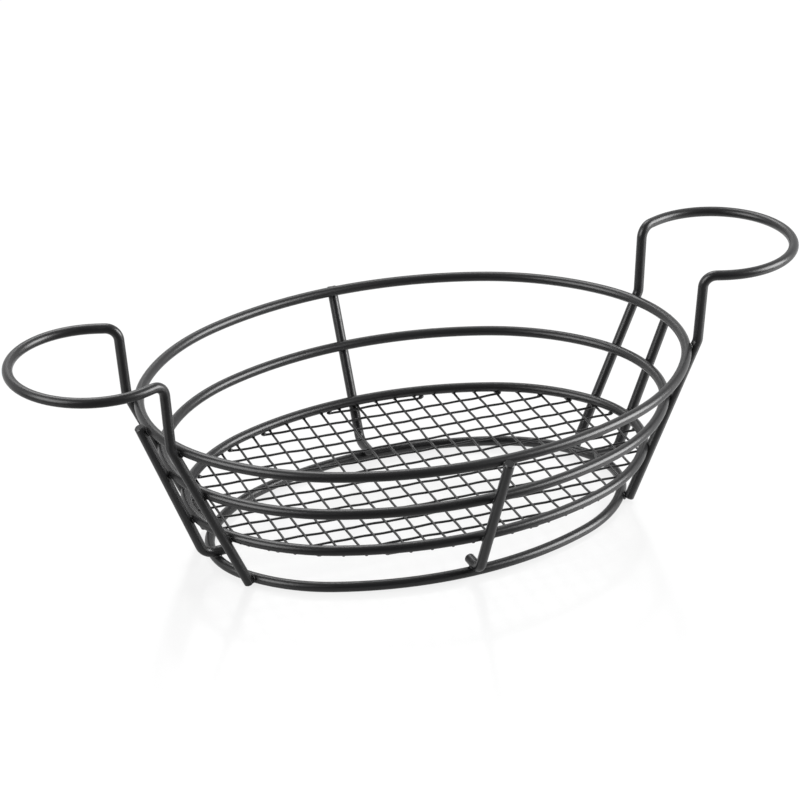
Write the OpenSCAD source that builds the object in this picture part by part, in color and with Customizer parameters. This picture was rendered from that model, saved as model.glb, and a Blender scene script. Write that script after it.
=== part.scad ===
// Oval wire serving basket for fries or bread.
// Four stacked ovals of round wire widen from the base to the rim. Four ribs run down the
// outside and fold in under the floor. A bent wire at each end climbs past the rim and
// carries a level ring for a small sauce cup. The floor is a welded wire mesh.
// X runs along the length, Y across it and Z up. The base oval rests on Z = 0.

/* [Basket] */
// Outside length of the rim oval
rim_length = 279.6; // [260:1:320]
// Outside width of the rim oval
rim_width = 210.2; // [195:1:235]
// Height of the top of the rim above the table
rim_height = 82.6; // [75:1:100]
// Outside length of the base oval
base_length = 220; // [205:1:235]
// Outside width of the base oval
base_width = 137; // [128:1:150]
// Height from the base oval to the floor oval, centre to centre
floor_rise = 25.8; // [22:1:30]
// Height from the base oval to the middle oval, centre to centre
middle_rise = 52; // [44:1:60]
// Turn of the floor oval against the other ovals, in degrees
floor_turn = -1.2; // [-1.5:0.1:1.5]
// Diameter of the frame wire with its coating
wire = 5; // [4:0.5:6]
// Depth to which a weld presses two frame wires together
weld_bite = 0.4; // [0.1:0.1:0.6]

/* [Ribs] */
// Bend radius of the wire centre where a rib folds in to its foot
rib_bend = 7; // [5:0.5:9]
// Length of foot inside the centre line of the base oval
foot_reach = 5; // [3.5:0.5:12]
// Height of the cut ends of the front and back ribs above the centre of the rim wire
rib_top = 0.5; // [0:0.5:6]
// Height of the cut end of the left rib above it
left_rib_top = 2; // [0:0.5:6]
// Height of the cut end of the right rib above it
right_rib_top = -1.5; // [-1.5:0.5:6]
// Sideways place of the front rib, from the middle of the basket
front_rib_x = 0.2; // [-10:0.5:10]
// Sideways place of the back rib
back_rib_x = -0.8; // [-10:0.5:10]
// Sideways place of the left rib
left_rib_y = -3.5; // [-8:0.5:8]
// Sideways place of the right rib
right_rib_y = 8; // [-8:0.5:8]

/* [Cup holders] */
// Clear diameter inside each holder ring
holder_bore = 73.5; // [66:0.5:78]
// Height of the top of the holder rings above the table
holder_height = 119.5; // [112:1:140]
// Distance from the middle of the basket to the middle of a holder ring
holder_reach = 162.5; // [158:1:180]
// Distance between the two legs of a holder where they turn into its ring, centre to centre
leg_gap_top = 66; // [60:1:70]
// Distance between the two legs where they pass the rim
leg_gap_rim = 64; // [56:1:68]
// Distance between the two legs where they meet the base oval
leg_gap_base = 61; // [54:1:66]
// Outward lean of a leg between its knee and its ring
leg_lean = 2.1; // [0:0.1:6]
// Height of the knee above the centre of the rim wire
knee_rise = 2.4; // [1:0.1:5]
// Bend radius of the wire centre at the knee
knee_bend = 6; // [4:1:14]
// Bend radius of the wire centre where a leg turns into the ring
corner_bend = 6.5; // [5:0.5:8]
// Space between the cut end of a leg and the table
leg_clearance = 0.8; // [0.6:0.1:3]

/* [Mesh floor] */
// Diameter of the mesh wires with their coating
mesh_wire = 1.2; // [1:0.1:2]
// Spacing of the wires that run across the basket
cross_pitch = 10.15; // [8:0.05:14]
// Spacing of the wires that run along the basket
long_pitch = 10.6; // [8:0.1:14]
// Place of the middle cross wire along the basket
cross_place = -2.6; // [-4:0.1:4]
// Place of the middle long wire across the basket
long_place = 1.4; // [-4:0.1:4]
// Turn of the cross wires, in degrees
cross_turn = -1.8; // [-4:0.1:4]
// Turn of the long wires, in degrees
long_turn = -3.6; // [-4:0.1:4]
// Sag of the mesh at its middle
mesh_sag = 1.2; // [0.2:0.1:3]
// Distance by which the trimmed mesh sits nearer to the back of the floor oval
mesh_aside = 0.5; // [-1:0.1:1]
// Length of each cross wire past the centre line of the floor oval
cross_overhang = 0; // [-1:0.1:1]
// Length of each long wire past that centre line
long_overhang = 1; // [-2:0.1:1]
// Space left between a long wire and a holder leg that stands in its way
leg_space = 0.5; // [0.2:0.1:1]
// Space left between mesh wires that touch
mesh_clearance = 0.05; // [0.03:0.01:0.1]

/* [Hidden] */
$fn = 96;

// Round-over of every cut wire end, where the coating softens it
end_bevel = 0.5;
// Pieces of one wire end this far short of each other, and a ball just larger than the
// wire closes the joint
joint_gap = 0.1;
joint_proud = 0.01;

// Each quarter of an oval is three arcs. The end arc and the side arc stop at these angles,
// and the end arc is a little rounder than the end of an ellipse
end_turn = 33;
side_turn = 66.5;
end_factor = 1.05;

// Half sizes of the ovals to the wire centre, and their heights
rim_half = [(rim_length - wire) / 2, (rim_width - wire) / 2];
base_half = [(base_length - wire) / 2, (base_width - wire) / 2];
base_z = wire / 2 + joint_proud;
rim_z = rim_height - wire / 2;
floor_z = base_z + floor_rise;
middle_z = base_z + middle_rise;

// Outward slope of the basket wall at its ends and its sides
wall_slope = (rim_half - base_half) / (rim_z - base_z);

// Half length and half width of the basket wall at height z
function half_at(z) = base_half + wall_slope * (z - base_z);

// Only the floor oval stands turned
function turn_at(z) = z == floor_z ? floor_turn : 0;

// Level distance from an oval to a leaning wire that is welded to its outside
function weld_offset(slope) = (wire - weld_bite) * sqrt(1 + slope * slope);

// One oval as three arc centres and three radii, from the end arc to the side arc. The two
// larger radii are those that make the arcs meet without a corner
function oval(half) =
    let (
        a = half.x,
        b = half.y,
        first = [cos(end_turn), sin(end_turn)],
        last = [cos(side_turn), sin(side_turn)],
        r_end = end_factor * b * b / a,
        rest = [a - r_end, b] - r_end * [-first.x, first.y],
        det = (first.x - last.x) * (1 - last.y) - last.x * (last.y - first.y),
        r_shoulder = (rest.x * (1 - last.y) - last.x * rest.y) / det,
        r_side = ((first.x - last.x) * rest.y - (last.y - first.y) * rest.x) / det,
        c_end = [a - r_end, 0]
    )
    [
        [c_end, c_end - (r_shoulder - r_end) * first, [0, b - r_side]],
        [r_end, r_shoulder, r_side]
    ];

// Distance from the long axis to the oval at the place x, with the oval grown by out
function oval_y(half, x, out = 0) =
    let (
        o = oval(half),
        c = o[0],
        r = o[1],
        p = abs(x)
    )
    p > c[0].x + (r[0] + out) * cos(end_turn) ? arc_rise(r[0] + out, p - c[0].x) + c[0].y
    : p > c[1].x + (r[1] + out) * cos(side_turn) ? arc_rise(r[1] + out, p - c[1].x) + c[1].y
    : arc_rise(r[2] + out, p) + c[2].y;

// Distance from the short axis to the oval at the place y, with the oval grown by out
function oval_x(half, y, out = 0) =
    let (
        o = oval(half),
        c = o[0],
        r = o[1],
        p = abs(y)
    )
    p < (r[0] + out) * sin(end_turn) ? arc_rise(r[0] + out, p) + c[0].x
    : p < c[1].y + (r[1] + out) * sin(side_turn) ? arc_rise(r[1] + out, p - c[1].y) + c[1].x
    : arc_rise(r[2] + out, p - c[2].y);

function arc_rise(r, p) = sqrt(max(r * r - p * p, 0));

// The four arcs of the back half of an oval: centre, radius, first and last angle
function oval_arcs(half) =
    let (
        o = oval(half),
        c = o[0],
        r = o[1]
    )
    [
        [c[0], r[0], -end_turn, end_turn],
        [c[1], r[1], end_turn, side_turn],
        [c[2], r[2], side_turn, 180 - side_turn],
        [[-c[1].x, c[1].y], r[1], 180 - side_turn, 180 - end_turn]
    ];

// Frame wire bent about Z at radius r, from one angle to another, up to its joints
module wire_turn(r, from, to) {
    trim = asin(joint_gap / 2 / r);
    rotate_extrude(angle = to - from - 2 * trim, start = from + trim)
        translate([r, 0])
            circle(d = wire);
}

// Ball that closes the joint between two pieces of one wire, which runs along ahead there
module wire_joint(p, ahead) {
    side = unit(cross(ahead, [1, 2, 3]));
    place(p, side, cross(ahead, side))
        sphere(d = wire + 2 * joint_proud);
}

// Arc n of the oval of wire at height z, counted from the right end round by the back
module oval_arc(z, n) {
    arc = oval_arcs(half_at(z))[n % 4];
    rotate([0, 0, turn_at(z) + (n < 4 ? 0 : 180)])
        translate([arc[0].x, arc[0].y, z])
            wire_turn(arc[1], arc[2], arc[3]);
}

// The joint at the far end of that arc
module oval_joint(z, n) {
    arc = oval_arcs(half_at(z))[n % 4];
    end = arc[0] + arc[1] * [cos(arc[3]), sin(arc[3])];
    rotate([0, 0, turn_at(z) + (n < 4 ? 0 : 180)])
        wire_joint([end.x, end.y, z], [-sin(arc[3]), cos(arc[3]), 0]);
}

// A closed oval of frame wire at height z
module oval_ring(z) {
    for (n = [0 : 7])
        oval_arc(z, n);
    for (n = [0 : 7])
        oval_joint(z, n);
}

function unit(v) = v / norm(v);

// The first and the last point of a bend of radius r at the point q, between p and n
function bend_start(p, q, n, r) = q - unit(q - p) * bend_length(p, q, n, r);
function bend_end(p, q, n, r) = q + unit(n - q) * bend_length(p, q, n, r);
function bend_length(p, q, n, r) = r * tan(bend_angle(p, q, n) / 2);
function bend_angle(p, q, n) = acos(unit(q - p) * unit(n - q));

// Places children with their X, Y and Z along x, y and x cross y, at the point o
module place(o, x, y) {
    z = cross(x, y);
    multmatrix([
        [x.x, y.x, z.x, o.x],
        [x.y, y.y, z.y, o.y],
        [x.z, y.z, z.z, o.z],
        [0, 0, 0, 1]
    ])
        children();
}

// A bend of frame wire of radius r at q, between p and n, with the joints at its ends
module wire_bend(p, q, n, r) {
    ahead = unit(q - p);
    wire_joint(bend_start(p, q, n, r), ahead);
    wire_joint(bend_end(p, q, n, r), unit(n - q));
    inward = unit(unit(n - q) - ahead * (ahead * unit(n - q)));
    place(bend_start(p, q, n, r) + inward * r, -inward, ahead)
        wire_turn(r, 0, bend_angle(p, q, n));
}

// Straight frame wire from p to q, each of them a joint, or a softened cut end where p
// has cut as true
module wire_straight(p, q, cut = false) {
    ahead = unit(q - p);
    side = unit(cross(ahead, [1, 2, 3]));
    first = cut ? end_bevel : joint_gap / 2;
    place(p, side, cross(ahead, side)) {
        if (cut)
            cylinder(d1 = wire - 2 * end_bevel, d2 = wire, h = end_bevel);
        translate([0, 0, first])
            cylinder(d = wire, h = norm(q - p) - first - joint_gap / 2);
    }
}

// Level foot, bend and leaning shank of one rib, drawn standing out along X
module rib_wire(at_base, at_rim, above_rim) {
    foot_z = base_z + wire - weld_bite;
    slope = (at_rim - at_base) / (rim_z - base_z);
    reach = at_base + weld_offset(slope);
    foot = [at_base - foot_reach, 0, foot_z];
    heel = [reach + slope * (foot_z - base_z), 0, foot_z];
    top_z = rim_z + above_rim;
    top = [reach + slope * (top_z - base_z), 0, top_z];
    wire_straight(foot, bend_start(foot, heel, top, rib_bend), cut = true);
    wire_bend(foot, heel, top, rib_bend);
    wire_straight(top, bend_end(foot, heel, top, rib_bend), cut = true);
}

// Heights of the four ovals
levels = [base_z, floor_z, middle_z, rim_z];

// One rib on the side at angle, moved by shift across that side, with seats for the arcs
// of the ovals that it crosses
module rib(angle, at_base, at_rim, shift, above_rim = rib_top) {
    difference() {
        rotate([0, 0, angle])
            translate([0, shift, 0])
                rib_wire(at_base, at_rim, above_rim);
        for (z = levels)
            oval_arc(z, angle / 45);
    }
}

// Centre of the holder ring's wire
holder_z = holder_height - wire / 2;
holder_radius = (holder_bore + wire) / 2;

// A leg stands outside the ovals on a straight line between its places at base and rim
leg_base = [
    oval_x(base_half, leg_gap_base / 2, weld_offset(wall_slope.x)),
    leg_gap_base / 2,
    base_z
];
leg_rim = [
    oval_x(rim_half, leg_gap_rim / 2, weld_offset(wall_slope.x)),
    leg_gap_rim / 2,
    rim_z
];
leg_rise = (leg_rim - leg_base) / (rim_z - base_z);
leg_tilt = norm([leg_rise.x, leg_rise.y]) / norm(leg_rise);
leg_foot = leg_base + leg_rise * (leg_clearance + (wire / 2 - end_bevel) * leg_tilt - base_z);
knee = leg_rim + leg_rise * knee_rise;
corner = [knee.x + leg_lean, leg_gap_top / 2, holder_z];

// From the corner the wire runs straight until it touches the circle of the ring
ring_middle = [holder_reach, 0, holder_z];
to_corner = corner - ring_middle;
ring_angle = atan2(to_corner.y, to_corner.x) - acos(holder_radius / norm(to_corner));
ring_start = ring_middle + holder_radius * [cos(ring_angle), sin(ring_angle), 0];

// The wire of the back leg with its knee and its corner, up to where the ring's circle begins
module leg_wire() {
    wire_straight(leg_foot, bend_start(leg_foot, knee, corner, knee_bend), cut = true);
    wire_bend(leg_foot, knee, corner, knee_bend);
    wire_straight(
        bend_end(leg_foot, knee, corner, knee_bend),
        bend_start(knee, corner, ring_start, corner_bend)
    );
    wire_bend(knee, corner, ring_start, corner_bend);
    wire_straight(bend_end(knee, corner, ring_start, corner_bend), ring_start);
    wire_joint(ring_start, unit(ring_start - corner));
}

// The back leg or the front leg, with seats for the end arcs of the ovals and for the
// shoulder arcs on its side
module holder_leg(shoulder) {
    difference() {
        if (shoulder == 1)
            leg_wire();
        else
            mirror([0, 1, 0])
                leg_wire();
        for (z = levels)
            oval_arc(z, 0);
        for (z = levels)
            oval_arc(z, shoulder);
    }
}

// A whole holder on the right-hand end, bent from one wire
module holder() {
    holder_leg(1);
    holder_leg(7);
    translate(ring_middle)
        wire_turn(holder_radius, -ring_angle, ring_angle);
}

// The mesh hangs under the floor oval like a shallow dish, cross wires above long wires
floor_half = half_at(floor_z);
cross_z = floor_z - wire / 2 - mesh_wire / 2 - mesh_clearance;
long_z = cross_z - mesh_wire - mesh_clearance;
dish = [mesh_sag / floor_half.x / floor_half.x, mesh_sag / floor_half.y / floor_half.y];

// Wires that still cross the floor oval on each side of the middle one
cross_count = floor((floor_half.x - abs(cross_place) - wire / 2) / cross_pitch);
long_count = floor((floor_half.y - abs(long_place) - wire / 2) / long_pitch);

// Distance along d from p to the trimmed edge of the mesh, found by closing in on it in
// steps. A cross wire looks for the side of the floor oval and a long wire for its end
function cross_reach(p, d, s = 0, steps = 12) =
    steps == 0 ? s
    : let (y = sign(d.y) * oval_y(floor_half, p.x + s * d.x, cross_overhang) + mesh_aside)
        cross_reach(p, d, (y - p.y) / d.y, steps - 1);
function long_reach(p, d, s = 0, steps = 12) =
    steps == 0 ? s
    : let (
        y = p.y + s * d.y,
        x = sign(d.x) * oval_x(floor_half, y - mesh_aside, long_overhang),
        free = sign(d.x) * leg_inside(y)
    )
        long_reach(p, d, ((leg_near(y) && abs(free) < abs(x) ? free : x) - p.x) / d.x, steps - 1);

// Whether a long wire at y would meet a leg, and where the inside of the leg is there
leg_at_mesh = leg_base + leg_rise * (long_z - base_z);
leg_half = (wire / 2 + mesh_wire / 2) * norm(leg_rise) + leg_space;
function leg_near(y) = abs(abs(y) - leg_at_mesh.y) < leg_half;
function leg_inside(y) = leg_at_mesh.x - leg_half;

// Mesh wire through p along d, from the distance back to the distance ahead, hung at height
// z at the oval and bent to the dish
module dished_wire(p, d, back, ahead, z) {
    bend = dish.x * d.x * d.x + dish.y * d.y * d.y;
    lowest = -(dish.x * p.x * d.x + dish.y * p.y * d.y) / bend;
    low = p + lowest * d;
    drop = dish.x * low.x * low.x + dish.y * low.y * low.y - mesh_sag;
    radius = 0.5 / bend;
    from = asin((back - lowest) / radius);
    to = asin((ahead - lowest) / radius);
    place([low.x, low.y, z + drop + radius], [0, 0, -1], [d.x, d.y, 0])
        rotate_extrude(angle = to - from, start = from, $fn = 2400)
            translate([radius, 0])
                circle(d = mesh_wire, $fn = 24);
}

// Turns a point or a direction by an angle about Z
function turned(v, angle) = [v.x * cos(angle) - v.y * sin(angle), v.x * sin(angle) + v.y * cos(angle)];

module cross_wires() {
    d = turned([0, 1], cross_turn - floor_turn);
    rotate([0, 0, floor_turn])
        for (i = [-cross_count : cross_count]) {
            p = turned([cross_place + i * cross_pitch, 0], cross_turn - floor_turn);
            dished_wire(p, d, -cross_reach(p, -d), cross_reach(p, d), cross_z);
        }
}

module long_wires() {
    d = turned([1, 0], long_turn - floor_turn);
    rotate([0, 0, floor_turn])
        for (i = [-long_count : long_count]) {
            p = turned([0, long_place + i * long_pitch], long_turn - floor_turn);
            dished_wire(p, d, -long_reach(p, -d), long_reach(p, d), long_z);
        }
}

coat = "#2f2f31";

module rim_ring() {
    color(coat)
        oval_ring(rim_z);
}

module middle_ring() {
    color(coat)
        oval_ring(middle_z);
}

module floor_ring() {
    color(coat)
        oval_ring(floor_z);
}

module base_ring() {
    color(coat)
        oval_ring(base_z);
}

module rib_front() {
    color(coat)
        rib(270, oval_y(base_half, front_rib_x), oval_y(rim_half, front_rib_x), front_rib_x);
}

module rib_back() {
    color(coat)
        rib(90, oval_y(base_half, back_rib_x), oval_y(rim_half, back_rib_x), -back_rib_x);
}

module rib_left() {
    color(coat)
        rib(
            180, oval_x(base_half, left_rib_y), oval_x(rim_half, left_rib_y), -left_rib_y,
            left_rib_top
        );
}

module rib_right() {
    color(coat)
        rib(
            0, oval_x(base_half, right_rib_y), oval_x(rim_half, right_rib_y), right_rib_y,
            right_rib_top
        );
}

module holder_left() {
    color(coat)
        rotate([0, 0, 180])
            holder();
}

module holder_right() {
    color(coat)
        holder();
}

module mesh_cross_wires() {
    color(coat)
        cross_wires();
}

module mesh_long_wires() {
    color(coat)
        long_wires();
}

rim_ring();
middle_ring();
floor_ring();
base_ring();
rib_front();
rib_back();
rib_left();
rib_right();
holder_left();
holder_right();
mesh_cross_wires();
mesh_long_wires();
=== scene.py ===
# %% [markdown]
# # An oval wire serving basket
# The real object is made of steel wire. Four ovals of 5 mm wire are stacked and widen from
# the base to the rim, four ribs and two cup holders are welded to their outside, and a mesh
# of 1.2 mm wire closes the floor. After welding, one black powder coating goes over the whole
# basket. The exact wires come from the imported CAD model. This script gives them their finish,
# presses the mesh wires into each other as welding does, adds what welding and coating leave
# behind, and sets up the picture.

import math

import bmesh
import bpy
from mathutils import Matrix, Vector
from mathutils.bvhtree import BVHTree


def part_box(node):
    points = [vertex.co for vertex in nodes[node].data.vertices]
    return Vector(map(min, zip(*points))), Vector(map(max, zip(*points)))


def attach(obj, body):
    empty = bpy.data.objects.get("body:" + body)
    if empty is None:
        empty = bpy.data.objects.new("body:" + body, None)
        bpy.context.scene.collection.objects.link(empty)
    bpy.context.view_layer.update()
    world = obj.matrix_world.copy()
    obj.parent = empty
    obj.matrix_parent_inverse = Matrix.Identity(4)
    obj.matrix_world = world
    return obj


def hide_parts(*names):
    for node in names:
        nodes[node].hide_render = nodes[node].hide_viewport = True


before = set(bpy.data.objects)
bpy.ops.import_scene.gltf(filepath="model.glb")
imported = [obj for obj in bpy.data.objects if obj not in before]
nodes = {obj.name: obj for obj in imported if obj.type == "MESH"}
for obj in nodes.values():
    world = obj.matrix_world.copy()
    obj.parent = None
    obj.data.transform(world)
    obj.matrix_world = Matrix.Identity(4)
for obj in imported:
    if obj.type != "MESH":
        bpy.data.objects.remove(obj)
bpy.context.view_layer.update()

# %% [markdown]
# Blender works in metres, and wire is thought of in millimetres, so one value turns one into
# the other. Colours are written as they are picked on a screen, in sRGB hex, while a shader
# wants linear light, so one function converts them.

# %% Units and colours
MM = 0.001


def linear(hex_code):
    """An sRGB hex colour as linear red, green, blue and alpha."""
    parts = [int(hex_code[i:i + 2], 16) / 255 for i in (1, 3, 5)]
    return [c / 12.92 if c <= 0.04045 else ((c + 0.055) / 1.055) ** 2.4 for c in parts] + [1]


print("mid grey in linear light:", [round(c, 3) for c in linear("#808080")])

# %% [markdown]
# Materials are small graphs of nodes. One helper adds a node, sets its values and links its
# inputs, so that each material below reads like a list of what it is made of.


# %% A helper for shader nodes
def add_node(tree, kind, settings=(), links=()):
    """A new node in tree. Settings name attributes or input sockets, links name inputs."""
    node = tree.nodes.new(kind)
    for name, value in dict(settings).items():
        if isinstance(name, int) or name in node.inputs:
            node.inputs[name].default_value = value
        else:
            setattr(node, name, value)
    for name, output in dict(links).items():
        tree.links.new(output, node.inputs[name])
    return node


def new_material(name):
    """An empty node material and its output node."""
    material = bpy.data.materials.new(name)
    material.use_nodes = True
    material.node_tree.nodes.clear()
    return material, add_node(material.node_tree, "ShaderNodeOutputMaterial")


print("shader helper ready")

# %% [markdown]
# The finish is a black powder coating, baked on steel. Powder melts into a satin film that is
# a very dark neutral grey rather than true black, with the faint unevenness that painters
# call orange peel. Its dimples are about 1 mm apart, which still shows on the thick wire, so
# a noise texture at that spacing bends the reflections a little.

# %% Satin black powder coating
COATING_COLOUR = "#171718"
COATING_ROUGHNESS = 0.33
COATING_IOR = 1.5
PEEL_SPACING = 0.9 * MM
PEEL_DEPTH = 0.012 * MM


def satin_powder_coat(name, colour, roughness):
    """Powder coating on steel wire: a dark satin film with a fine orange peel."""
    material, output = new_material(name)
    tree = material.node_tree
    place = add_node(tree, "ShaderNodeTexCoord")
    peel = add_node(
        tree,
        "ShaderNodeTexNoise",
        {"Scale": 1 / PEEL_SPACING, "Detail": 2.0, "Roughness": 0.5},
        {"Vector": place.outputs["Object"]},
    )
    bump = add_node(
        tree,
        "ShaderNodeBump",
        {"Strength": 1.0, "Distance": PEEL_DEPTH},
        {"Height": peel.outputs["Fac"]},
    )
    coat = add_node(
        tree,
        "ShaderNodeBsdfPrincipled",
        {"Base Color": linear(colour), "Roughness": roughness, "IOR": COATING_IOR},
        {"Normal": bump.outputs["Normal"]},
    )
    tree.links.new(coat.outputs["BSDF"], output.inputs["Surface"])
    return material


wire_coating = satin_powder_coat(
    "black_powder_coat_on_steel_wire", COATING_COLOUR, COATING_ROUGHNESS
)
for node in nodes.values():
    node.data.materials.clear()
    node.data.materials.append(wire_coating)
print("coated nodes:", len(nodes))

# %% [markdown]
# Each new piece is modelled in a bmesh. When it is done, one function writes it to a mesh,
# smooths its shading, and says that it rides on the basket and takes the basket's finish.


# %% From bmesh to piece
def put_in_scene(name, bm, material):
    """Turns a finished bmesh into a piece that rides on the basket."""
    mesh = bpy.data.meshes.new(name)
    bm.to_mesh(mesh)
    bm.free()
    mesh.polygons.foreach_set("use_smooth", [True] * len(mesh.polygons))
    mesh.materials.append(material)
    piece = bpy.data.objects.new(name, mesh)
    bpy.context.scene.collection.objects.link(piece)
    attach(piece, "root")
    return piece


print("piece helper ready")

# %% [markdown]
# The mesh floor is bought as a welded sheet. Electrodes squeeze each crossing until the wires
# sink into each other, and the same happens where the sheet is welded under the floor oval.
# Solids in a CAD model may not sink into each other, so there the wires lie a hair apart. Here
# they are made again along the same lines, but pressed together, with a small fillet of
# coating at each crossing. First the lines are read from the CAD wires, in a copy whose points
# at the same place are merged. There each wire is one connected island of vertices, and the
# two ends of an island give its line.

# %% Lines of the mesh wires
SAME_POINT = 0.001 * MM
CAP_WINDOW = 0.3 * MM


def islands(bm):
    """The groups of connected vertices in a bmesh, in the same order each time."""
    seen = set()
    found = []
    for vertex in bm.verts:
        if vertex in seen:
            continue
        seen.add(vertex)
        group = [vertex]
        for member in group:
            for edge in member.link_edges:
                other = edge.other_vert(member)
                if other not in seen:
                    seen.add(other)
                    group.append(other)
        found.append(group)
    return found


def wire_lines(name, axis):
    """First and last centre point of each wire in a CAD node, seen along axis."""
    bm = bmesh.new()
    bm.from_mesh(nodes[name].data)
    bmesh.ops.remove_doubles(bm, verts=bm.verts, dist=SAME_POINT)
    lines = []
    for group in islands(bm):
        ends = []
        for way in (-1, 1):
            far = max(way * v.co[axis] for v in group)
            cap = [v.co for v in group if way * v.co[axis] > far - CAP_WINDOW]
            ends.append(sum(cap, Vector()) / len(cap))
        lines.append(ends)
    bm.free()
    return lines


cross_lines = wire_lines("mesh_cross_wires", 1)
long_lines = wire_lines("mesh_long_wires", 0)
print("cross wires:", len(cross_lines), "long wires:", len(long_lines))

# %% [markdown]
# The sheet sags like a very shallow dish, so each wire is an arc of a huge circle. Three points
# fix that circle: both ends and the middle. Such a thin sheet is never quite even either:
# welding leaves ripples of a fraction of a millimetre, which bend every wire a little. The
# upper wires, which run across, are sunk a little into the floor oval, and the lower ones, which
# run along, are sunk a little into the upper ones.

# %% Shape of the mesh sheet
MESH_WIRE = 1.2 * MM
FRAME_WIRE = 5.0 * MM
PRESSED_INTO_OVAL = 0.3 * MM
PRESSED_TOGETHER = 0.5 * MM
SAG = 1.5 * MM
RIPPLE_HEIGHT = 0.25 * MM
RIPPLE_LENGTH_X = 23.0 * MM
RIPPLE_LENGTH_Y = 19.0 * MM
RIPPLE_DRIFT = 83.0 * MM

floor_low, floor_high = (Vector(corner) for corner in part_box("floor_ring"))
floor_half = (floor_high - floor_low) / 2 - Vector((1, 1, 1)) * FRAME_WIRE / 2
cross_level = floor_low.z - MESH_WIRE / 2 + PRESSED_INTO_OVAL
long_level = cross_level - MESH_WIRE + PRESSED_TOGETHER


def on_dish(point, level):
    """The point at its height on the sagging sheet."""
    out = (point.x / floor_half.x) ** 2 + (point.y / floor_half.y) ** 2
    return Vector((point.x, point.y, level + SAG * (out - 1)))


def ripple(point):
    """How far the sheet is bent up or down at a point."""
    along = math.tau * (point.x / RIPPLE_LENGTH_X + point.y / RIPPLE_DRIFT)
    across = math.tau * (point.y / RIPPLE_LENGTH_Y - point.x / RIPPLE_DRIFT)
    return RIPPLE_HEIGHT * math.sin(along) * math.cos(across)


oval_level = floor_low.z + FRAME_WIRE / 2
for name, level in (("cross", cross_level), ("long", long_level)):
    print(name, "wires, mm below the oval's centre:", round((oval_level - level) / MM, 2))

# %% [markdown]
# A wire ends under the oval, and where that is can be felt from below: rays sent up from the
# wire's line hit the oval's underside only while they pass under it. The sheet is welded on a
# little off the oval's centre, and the lower wires stop a little short of the middle of the
# oval's wire. Where a wire meets the oval at a flat angle, a small step across is a long way
# along, so the slant has a least value.

# %% Ends of the mesh wires
SHEET_SHIFT = Vector((0.4, 0.3, 0)) * MM
LONG_WIRES_SHORT = 1.0 * MM
FEEL_RANGE = 25.0 * MM
FEEL_STEP = 0.1 * MM
FEEL_START = 1.0 * MM
FEEL_HEIGHT = 6.0 * MM
LEAST_SLANT = 0.35


def surface_of(name):
    """A search tree over the triangles of a CAD node."""
    mesh = nodes[name].data
    places = [vertex.co for vertex in mesh.vertices]
    return BVHTree.FromPolygons(places, [face.vertices for face in mesh.polygons])


floor_surface = surface_of("floor_ring")


def end_under_oval(end, ahead, short):
    """Where a wire stops under the oval that runs on from end in the direction ahead."""
    start = Vector((end.x, end.y, floor_low.z - FEEL_START))
    steps = int(FEEL_RANGE / FEEL_STEP)
    covered = []
    for step in range(-steps, steps + 1):
        place = start + ahead * (step * FEEL_STEP)
        hit = floor_surface.ray_cast(place, Vector((0, 0, 1)), FEEL_HEIGHT)[0]
        if hit is not None:
            covered.append(step * FEEL_STEP)
    middle = start + ahead * (covered[0] + covered[-1]) / 2
    outward = Vector((middle.x / floor_half.x ** 2, middle.y / floor_half.y ** 2, 0)).normalized()
    slant = max(ahead.dot(outward), LEAST_SLANT)
    return middle + ahead * ((SHEET_SHIFT.dot(outward) - short) / slant)


def sheet_wires(lines, level, short):
    """First, middle and last point of each mesh wire on the sheet."""
    wires = []
    for first, last in lines:
        ahead = Vector((last.x - first.x, last.y - first.y, 0)).normalized()
        start = end_under_oval(first, -ahead, short)
        stop = end_under_oval(last, ahead, short)
        points = [start, (start + stop) / 2, stop]
        wires.append([on_dish(point, level) for point in points])
    return wires


cross_wires = sheet_wires(cross_lines, cross_level, 0)
long_wires = sheet_wires(long_lines, long_level, LONG_WIRES_SHORT)
for name, wires in (("cross", cross_wires), ("long", long_wires)):
    longest = max((last - first).length for first, _, last in wires)
    print("longest", name, "wire, mm:", round(longest / MM, 1))

# %% [markdown]
# A wire is made as a pipe bender would make it: a circle is spun about the centre of the huge
# arc. The centre of a circle through three points lies where the perpendiculars of two of its
# chords meet. The cut ends get a small bevel, and last the ripples bend the wire.

# %% One mesh wire
WIRE_SIDES = 12
WIRE_STEPS = 56


def arc_centre(first, middle, last):
    """Centre of the circle through three points."""
    a = first - last
    b = middle - last
    across = a.cross(b)
    return last + (b.cross(across) * a.length_squared + across.cross(a) * b.length_squared) / (
        2 * across.length_squared
    )


def spun_wire(bm, first, middle, last):
    """Adds a mesh wire, spun along the arc through three points. Gives the edges of its cuts."""
    centre = arc_centre(first, middle, last)
    axis = (last - centre).cross(first - centre).normalized()
    angle = (first - centre).angle(last - centre)
    ahead = axis.cross(first - centre).normalized()
    turn = ahead.to_track_quat("Z", "Y").to_matrix().to_4x4()
    made = bmesh.ops.create_circle(
        bm,
        segments=WIRE_SIDES,
        radius=MESH_WIRE / 2,
        cap_ends=True,
        matrix=Matrix.Translation(first) @ turn,
    )
    first_loop = list(dict.fromkeys(edge for vert in made["verts"] for edge in vert.link_edges))
    spun = bmesh.ops.spin(
        bm,
        geom=made["verts"] + first_loop,
        cent=centre,
        axis=axis,
        angle=-angle,
        steps=WIRE_STEPS,
        dvec=(0, 0, 0),
        space=Matrix.Identity(4),
        use_merge=False,
        use_duplicate=False,
    )
    last_loop = [g for g in spun["geom_last"] if isinstance(g, bmesh.types.BMEdge)]
    bmesh.ops.contextual_create(bm, geom=last_loop)
    return first_loop + last_loop


print("faces round a mesh wire:", WIRE_SIDES)

# %% [markdown]
# All wires of one direction are one piece, as in the CAD model. It replaces the CAD wires in
# the picture, and the CAD wires stay in the physics.

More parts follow.
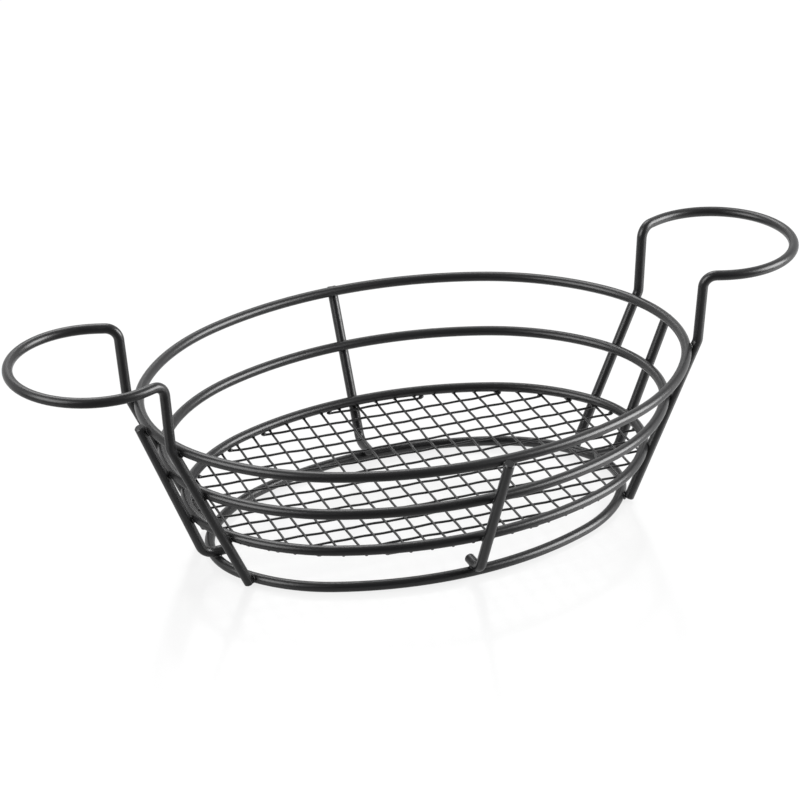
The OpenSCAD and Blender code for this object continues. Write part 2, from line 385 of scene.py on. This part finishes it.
# %% Pressed mesh wires
CUT_BEVEL = 0.15 * MM
CUT_BEVEL_STEPS = 2


def mesh_piece(name, wires):
    """All wires of one direction as one piece."""
    bm = bmesh.new()
    cuts = []
    for points in wires:
        cuts += spun_wire(bm, *points)
    bmesh.ops.bevel(
        bm,
        geom=cuts,
        offset=CUT_BEVEL,
        offset_type="OFFSET",
        segments=CUT_BEVEL_STEPS,
        profile=0.5,
        affect="EDGES",
        material=-1,
    )
    for vertex in bm.verts:
        vertex.co.z += ripple(vertex.co)
    bmesh.ops.recalc_face_normals(bm, faces=bm.faces)
    return put_in_scene(name, bm, wire_coating)


cross_piece = mesh_piece("pressed_cross_wires", cross_wires)
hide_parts("mesh_cross_wires")
long_piece = mesh_piece("pressed_long_wires", long_wires)
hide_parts("mesh_long_wires")
print("faces of the mesh:", sum(len(p.data.polygons) for p in (cross_piece, long_piece)))

# %% [markdown]
# At each crossing the coating fills the notch between the two wires. There are hundreds of
# crossings, so each fillet is a small flattened ball of a few dozen faces.

# %% Coating at the crossings
FILLET_RADIUS = 0.78 * MM
FILLET_HALF_HEIGHT = 0.42 * MM
BALL_SIDES = 8
BALL_BANDS = 6


def crossing(one, other):
    """Where two wires cross in plan, or nothing."""
    a, b = one[0], one[2] - one[0]
    c, d = other[0], other[2] - other[0]
    twist = b.x * d.y - b.y * d.x
    s = ((c.x - a.x) * d.y - (c.y - a.y) * d.x) / twist
    t = ((c.x - a.x) * b.y - (c.y - a.y) * b.x) / twist
    return a + b * s if 0 < s < 1 and 0 < t < 1 else None


def pressed_ball(bm, centre, ahead, size):
    """Adds a ball that is pressed flat, its first axis along ahead."""
    turn = Matrix.Rotation(math.atan2(ahead.y, ahead.x), 4, "Z")
    bmesh.ops.create_uvsphere(
        bm,
        u_segments=BALL_SIDES,
        v_segments=BALL_BANDS,
        radius=1,
        matrix=Matrix.Translation(centre) @ turn @ Matrix.Diagonal((*size, 1)),
    )


bm = bmesh.new()
fillets = 0
for one in cross_wires:
    for other in long_wires:
        spot = crossing(one, other)
        if spot is not None:
            centre = on_dish(spot, (cross_level + long_level) / 2)
            centre.z += ripple(spot)
            size = (FILLET_RADIUS, FILLET_RADIUS, FILLET_HALF_HEIGHT)
            pressed_ball(bm, centre, Vector((1, 0, 0)), size)
            fillets += 1
put_in_scene("crossing_fillets", bm, wire_coating)
print("crossing fillets:", fillets)

# %% [markdown]
# Under the oval each wire end has the nub of its weld. It is a ball too, as tall as it takes to
# reach from the wire up into the oval, so the nubs of the lower wires are taller.

# %% Welds at the ends of the mesh wires
NUB_LENGTH = 1.5 * MM
NUB_WIDTH = 1.05 * MM
NUB_OVERLAP = 0.5 * MM
NUB_INWARD = 0.3 * MM

bm = bmesh.new()
for wires in (cross_wires, long_wires):
    for first, _, last in wires:
        for end, inward in ((first, last - first), (last, first - last)):
            centre = end + inward.normalized() * NUB_INWARD
            centre.z = (end.z + floor_low.z) / 2
            half_height = (floor_low.z - end.z) / 2 + NUB_OVERLAP
            pressed_ball(bm, centre, inward, (NUB_LENGTH, NUB_WIDTH, half_height))
put_in_scene("mesh_end_nubs", bm, wire_coating)
print("end nubs:", 2 * (len(cross_wires) + len(long_wires)))

# %% [markdown]
# Where a rib or a holder leg crosses an oval, the two wires are pressed together and welded.
# The powder flows into the narrow gap round such a weld and leaves a small dark collar. The
# contacts need no measuring by hand: the CAD model cuts a seat in the rib or leg exactly where
# the oval lies, so those of its points that lie on the oval's surface mark the weld.

# %% Find the welds
RINGS = ["base_ring", "floor_ring", "middle_ring", "rim_ring"]
UPRIGHTS = ["rib_front", "rib_back", "rib_left", "rib_right", "holder_left", "holder_right"]
ON_SURFACE = 0.03 * MM
ONE_WELD = 12 * MM


def find_welds(ring_name, upright_name, surface):
    """Middle and outward direction of each place where an upright sits on a ring."""
    groups = []
    for vertex in nodes[upright_name].data.vertices:
        near, normal, _, _ = surface.find_nearest(vertex.co, ON_SURFACE)
        if near is None:
            continue
        for group in groups:
            if (group[0][0] - vertex.co).length < ONE_WELD:
                group.append((vertex.co.copy(), normal))
                break
        else:
            groups.append([(vertex.co.copy(), normal)])
    welds = []
    for group in groups:
        middle = sum((co for co, _ in group), Vector()) / len(group)
        outward = sum((normal for _, normal in group), Vector()).normalized()
        welds.append((middle, outward))
    return welds


welds = {}
for ring_name in RINGS:
    ring_surface = surface_of(ring_name)
    for upright_name in UPRIGHTS:
        for weld in find_welds(ring_name, upright_name, ring_surface):
            welds.setdefault(ring_name, []).append(weld)
for ring_name, found in welds.items():
    print("welds on", ring_name, len(found))

# %% [markdown]
# Each collar is a ball pressed flat along the line through the two wires: wide enough to show
# round the contact, thin enough to stay in the gap. All collars of one oval form one piece.

# %% Coating pooled at the welds
COLLAR_RADIUS = 2.35 * MM
COLLAR_HALF_THICKNESS = 1.0 * MM
COLLAR_SUBDIVISIONS = 3
for ring_name, found in welds.items():
    bm = bmesh.new()
    for middle, outward in found:
        turn = outward.to_track_quat("Z", "Y").to_matrix().to_4x4()
        size = Matrix.Diagonal((COLLAR_RADIUS, COLLAR_RADIUS, COLLAR_HALF_THICKNESS, 1))
        bmesh.ops.create_icosphere(
            bm,
            subdivisions=COLLAR_SUBDIVISIONS,
            radius=1,
            matrix=Matrix.Translation(middle) @ turn @ size,
        )
    put_in_scene("weld_collars_" + ring_name, bm, wire_coating)
print("weld collars:", sum(len(found) for found in welds.values()))

# %% [markdown]
# The picture is taken on a glossy white table in white surroundings. A real table that white
# would need so much light that the black wires turned grey, so the table gives off white of
# its own that only the camera and mirroring surfaces see, and keeps the shadow and the faint
# mirror image. What the wires mirror of this glow is painted light: it is painted dim before
# the basket, where the photographer and the edge of the table would be, and bright behind it
# and to its right. Mirrored in the wires, this painted glow gives an upright wire a dark
# middle and a light strip along its side.

# %% Finish and painted glow of the white table
MATT = (0.08, 0.08, 0.08, 1)
GLOSS = (0.11, 0.11, 0.11, 1)
GLOSS_ROUGHNESS = 0.17
# Glow of the table: even white for the camera, and painted light for what the wires mirror.
TABLE_GLOW = (0.81, 0.81, 0.81, 1)
SIDE_SHARE = 0.6
DIM_BEFORE = -0.3
BRIGHT_BEHIND = 0.12
DIM_LEVEL = 0.12

table_material, table_output = new_material("glossy_white_table")
tree = table_material.node_tree
matt = add_node(tree, "ShaderNodeBsdfDiffuse", {"Color": MATT})
mirror = add_node(
    tree, "ShaderNodeBsdfGlossy", {"Color": GLOSS, "Roughness": GLOSS_ROUGHNESS}
)
place = add_node(tree, "ShaderNodeTexCoord")
parts = add_node(tree, "ShaderNodeSeparateXYZ", (), {"Vector": place.outputs["Object"]})
behind = add_node(tree, "ShaderNodeMath", {"operation": "MULTIPLY_ADD", 1: SIDE_SHARE})
tree.links.new(parts.outputs["X"], behind.inputs[0])
tree.links.new(parts.outputs["Y"], behind.inputs[2])
lit = add_node(
    tree,
    "ShaderNodeMapRange",
    {
        "interpolation_type": "SMOOTHSTEP",
        "From Min": DIM_BEFORE,
        "From Max": BRIGHT_BEHIND,
        "To Min": DIM_LEVEL,
        "To Max": 1.0,
    },
    {"Value": behind.outputs["Value"]},
)
# The painted glow: camera rays see the even white, mirroring rays see it dimmer before the basket
# and brighter behind it and to its right.
rays = add_node(tree, "ShaderNodeLightPath")
mirrored = add_node(tree, "ShaderNodeMath", {"operation": "MULTIPLY"})
tree.links.new(rays.outputs["Is Glossy Ray"], mirrored.inputs[0])
tree.links.new(lit.outputs["Result"], mirrored.inputs[1])
seen = add_node(tree, "ShaderNodeMath", {"operation": "MAXIMUM"})
tree.links.new(rays.outputs["Is Camera Ray"], seen.inputs[0])
tree.links.new(mirrored.outputs["Value"], seen.inputs[1])
own_light = add_node(
    tree, "ShaderNodeEmission", {"Color": TABLE_GLOW}, {"Strength": seen.outputs["Value"]}
)
both = add_node(tree, "ShaderNodeAddShader")
tree.links.new(matt.outputs["BSDF"], both.inputs[0])
tree.links.new(mirror.outputs["BSDF"], both.inputs[1])
everything = add_node(tree, "ShaderNodeAddShader")
tree.links.new(both.outputs["Shader"], everything.inputs[0])
tree.links.new(own_light.outputs["Emission"], everything.inputs[1])
tree.links.new(everything.outputs["Shader"], table_output.inputs["Surface"])
print("nodes in the table's finish:", len(tree.nodes))

# %% [markdown]
# The table top is one flat sheet, a hair below the basket so that the two don't share a plane.

# %% White table
TABLE_HALF = 6.0
TABLE_GAP = 0.02 * MM

bm = bmesh.new()
bmesh.ops.create_grid(bm, x_segments=1, y_segments=1, size=TABLE_HALF)
table_mesh = bpy.data.meshes.new("table")
bm.to_mesh(table_mesh)
bm.free()
table_mesh.materials.append(table_material)
table = bpy.data.objects.new("table", table_mesh)
table.location.z = -TABLE_GAP
bpy.context.scene.collection.objects.link(table)
print("table side, metres:", 2 * TABLE_HALF)

# %% [markdown]
# The camera sees plain white round the basket. What the wires mirror is another matter: a
# black satin surface has almost no colour of its own, so it shows the room. A studio is bright
# behind and beside the table and dim where the photographer stands, which is why the front of
# each wire is nearly black and its upper edge is grey. The world therefore grows brighter from
# the camera's side of the room, at -Y, to the far side.

# %% White surroundings
NEAR_SIDE_LEVEL = 0.06
FAR_SIDE_LEVEL = 0.85
NEAR_SIDE = -0.7
FAR_SIDE = 0.6

world = bpy.data.worlds.new("white_studio")
bpy.context.scene.world = world
world.use_nodes = True
tree = world.node_tree
tree.nodes.clear()
direction = add_node(tree, "ShaderNodeTexCoord")
parts = add_node(tree, "ShaderNodeSeparateXYZ", (), {"Vector": direction.outputs["Generated"]})
room = add_node(
    tree,
    "ShaderNodeMapRange",
    {
        "interpolation_type": "SMOOTHSTEP",
        "From Min": NEAR_SIDE,
        "From Max": FAR_SIDE,
        "To Min": NEAR_SIDE_LEVEL,
        "To Max": FAR_SIDE_LEVEL,
    },
    {"Value": parts.outputs["Y"]},
)
rays = add_node(tree, "ShaderNodeLightPath")
level = add_node(tree, "ShaderNodeMath", {"operation": "MAXIMUM"})
tree.links.new(rays.outputs["Is Camera Ray"], level.inputs[0])
tree.links.new(room.outputs["Result"], level.inputs[1])
light = add_node(
    tree,
    "ShaderNodeBackground",
    {"Color": (1, 1, 1, 1)},
    {"Strength": level.outputs["Value"]},
)
add_node(tree, "ShaderNodeOutputWorld", (), {"Surface": light.outputs["Background"]})
print("room level, near and far:", NEAR_SIDE_LEVEL, FAR_SIDE_LEVEL)

# %% [markdown]
# Two large soft lamps, one on each side of the table, draw the long grey highlights along the
# wires. The right one is stronger, because the highlights on that side are. A third lamp from
# above and behind lights the upper edges. Each line below gives a lamp's place and side in
# metres and its power in watts.

# %% Lamps
LAMPS = {
    "lamp_left": ((-1.5, -0.3, 0.9), 1.2, 26),
    "lamp_right": ((1.4, -0.7, 0.7), 1.1, 52),
    "lamp_top_back": ((0.1, 1.2, 1.6), 1.0, 16),
}
AIMED_AT = Vector((0, 0, 0.05))

for name, (place, size, power) in LAMPS.items():
    lamp = bpy.data.lights.new(name, "AREA")
    lamp.size = size
    lamp.energy = power
    stand = bpy.data.objects.new(name, lamp)
    turn = (AIMED_AT - Vector(place)).to_track_quat("-Z", "Y").to_matrix().to_4x4()
    stand.matrix_world = Matrix.Translation(place) @ turn
    bpy.context.scene.collection.objects.link(stand)
print("lamps:", len(LAMPS), "total watts:", sum(power for _, _, power in LAMPS.values()))

# %% [markdown]
# The camera stands where the photographer's did: a little to the left of the basket's middle,
# about 27 degrees above the table and 1.57 m away, with a long lens that flattens the ovals.

# %% Camera
AZIMUTH = math.radians(-22.558)
ELEVATION = math.radians(26.703)
ROLL = math.radians(-1.173)
DISTANCE = 1566.701 * MM
ASIDE = -9.244 * MM
RAISED = 57.25 * MM
LENS = 141.883
SENSOR = 36.0
FARTHEST_SEEN = 50

back = Vector((
    math.sin(AZIMUTH) * math.cos(ELEVATION),
    -math.cos(AZIMUTH) * math.cos(ELEVATION),
    math.sin(ELEVATION),
))
level_right = Vector((math.cos(AZIMUTH), math.sin(AZIMUTH), 0))
level_up = back.cross(level_right)
right = level_right * math.cos(ROLL) + level_up * math.sin(ROLL)
up = level_up * math.cos(ROLL) - level_right * math.sin(ROLL)
spot = back * DISTANCE + right * ASIDE + up * RAISED

camera_data = bpy.data.cameras.new("camera")
camera_data.sensor_width = SENSOR
camera_data.sensor_fit = "HORIZONTAL"
camera_data.lens = LENS
camera_data.clip_end = FARTHEST_SEEN
camera_data.dof.use_dof = False
camera = bpy.data.objects.new("camera", camera_data)
camera.matrix_world = Matrix((
    (right.x, up.x, back.x, spot.x),
    (right.y, up.y, back.y, spot.y),
    (right.z, up.z, back.z, spot.z),
    (0, 0, 0, 1),
))
bpy.context.scene.collection.objects.link(camera)
bpy.context.scene.camera = camera
bpy.context.scene.view_settings.view_transform = "Standard"
print("camera at, metres:", [round(v, 3) for v in spot])
